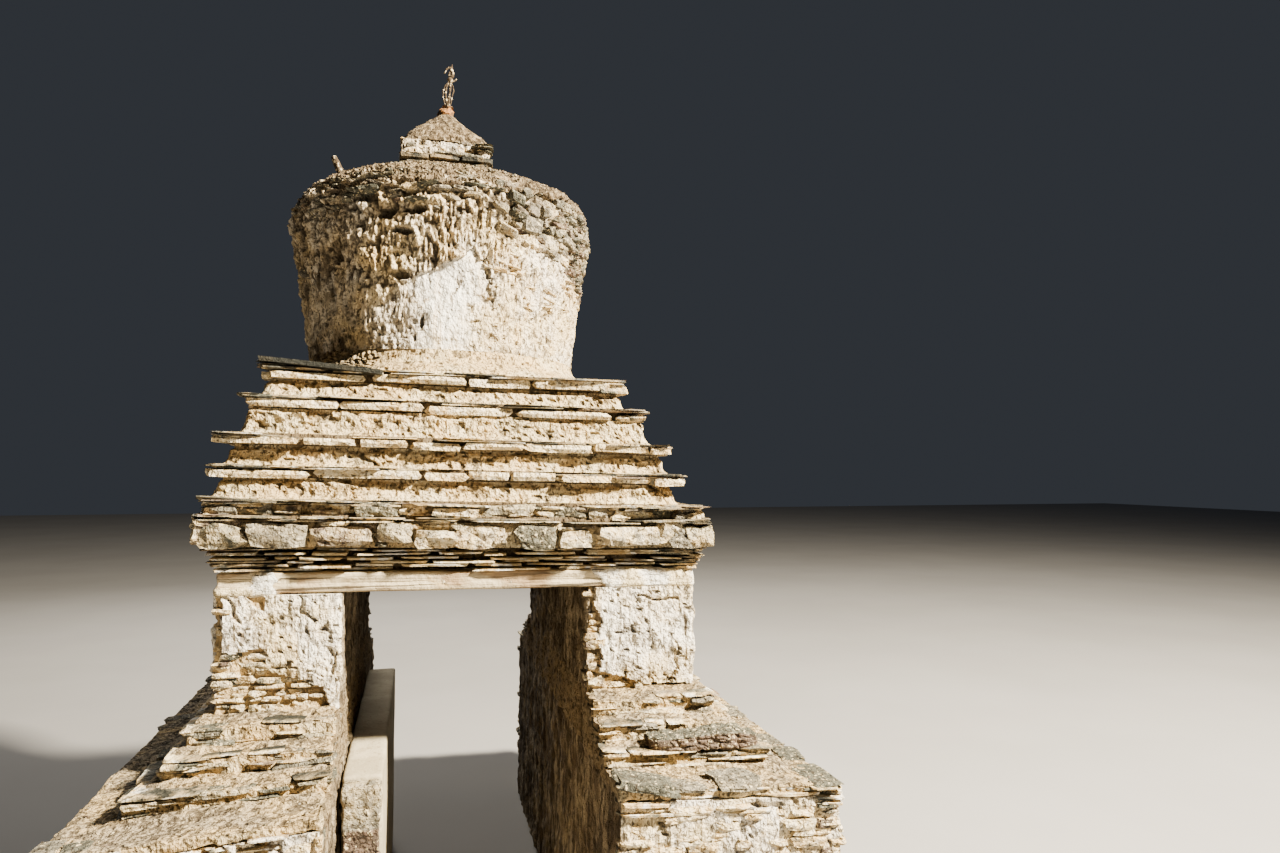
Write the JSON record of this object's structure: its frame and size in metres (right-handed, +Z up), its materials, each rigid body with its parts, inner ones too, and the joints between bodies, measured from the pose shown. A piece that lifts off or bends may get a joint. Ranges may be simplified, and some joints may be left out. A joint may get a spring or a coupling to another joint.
{
  "type": "gateway stupa",
  "caption": "Whitewashed gateway stupa: a stepped slate tower with a bell-shaped drum and small spire, carried on two piers over a walk-through passage.",
  "frame": {"origin": "on the ground at the middle of the passage, under the middle of the tower", "axes": "+Z up, -Y towards the front face in the picture, +X to the right seen from the front; the passage runs along Y"},
  "size_m": [3.66, 4.28, 5.895],
  "materials": {
    "limewash": "limewashed rubble masonry, cracked and stained",
    "mud": "cream-brown mud plaster with grit and straw",
    "slate": "split slate, rough and matt",
    "stone": "rough field stone with traces of limewash",
    "timber": "weathered poplar, cracked, bare",
    "cement": "smooth cream render, scratched and dusty"
  },
  "bodies": {
    "root": {"left_plinth": "limewash", "left_ledge": "mud", "left_lower_step": "mud", "left_middle_step": "mud", "left_upper_step": "mud", "left_pier": "limewash", "right_plinth": "limewash", "right_ledge": "mud", "right_lower_step": "mud", "right_middle_step": "mud", "right_upper_step": "mud", "right_pier": "limewash", "loose_flat_stone": "stone", "bench": "cement", "bench_end_block": "stone", "front_lintel": "timber", "back_lintel": "timber", "ceiling_beam_1": "timber", "ceiling_beam_2": "timber", "ceiling_beam_3": "timber", "ceiling_beam_4": "timber", "ceiling_beam_5": "timber", "ceiling_beam_6": "timber", "ceiling_beam_7": "timber", "left_wall_head": "limewash", "right_wall_head": "limewash", "lower_slate_course": "slate", "upper_slate_course": "slate", "cornice_slate_course": "slate", "first_step_slates": "slate", "second_step_slates": "slate", "third_step_slates": "slate", "fourth_step_slates": "slate", "top_slates": "slate", "harmika_foot_slates": "slate", "harmika_top_slates": "slate", "cornice_stone_course": "stone", "upper_stone_course": "stone", "first_step_wall": "mud", "second_step_wall": "mud", "third_step_wall": "mud", "fourth_step_wall": "mud", "drum_foot": "mud", "drum_cap": "mud", "harmika_wall": "mud", "mud_spire": "mud", "drum": "limewash", "shoulder_peg": "timber", "finial_knob": "timber", "finial_bud": "timber", "finial_neck": "timber", "finial_loop": "timber", "finial_spike": "timber"}
  },
  "joints": []
}
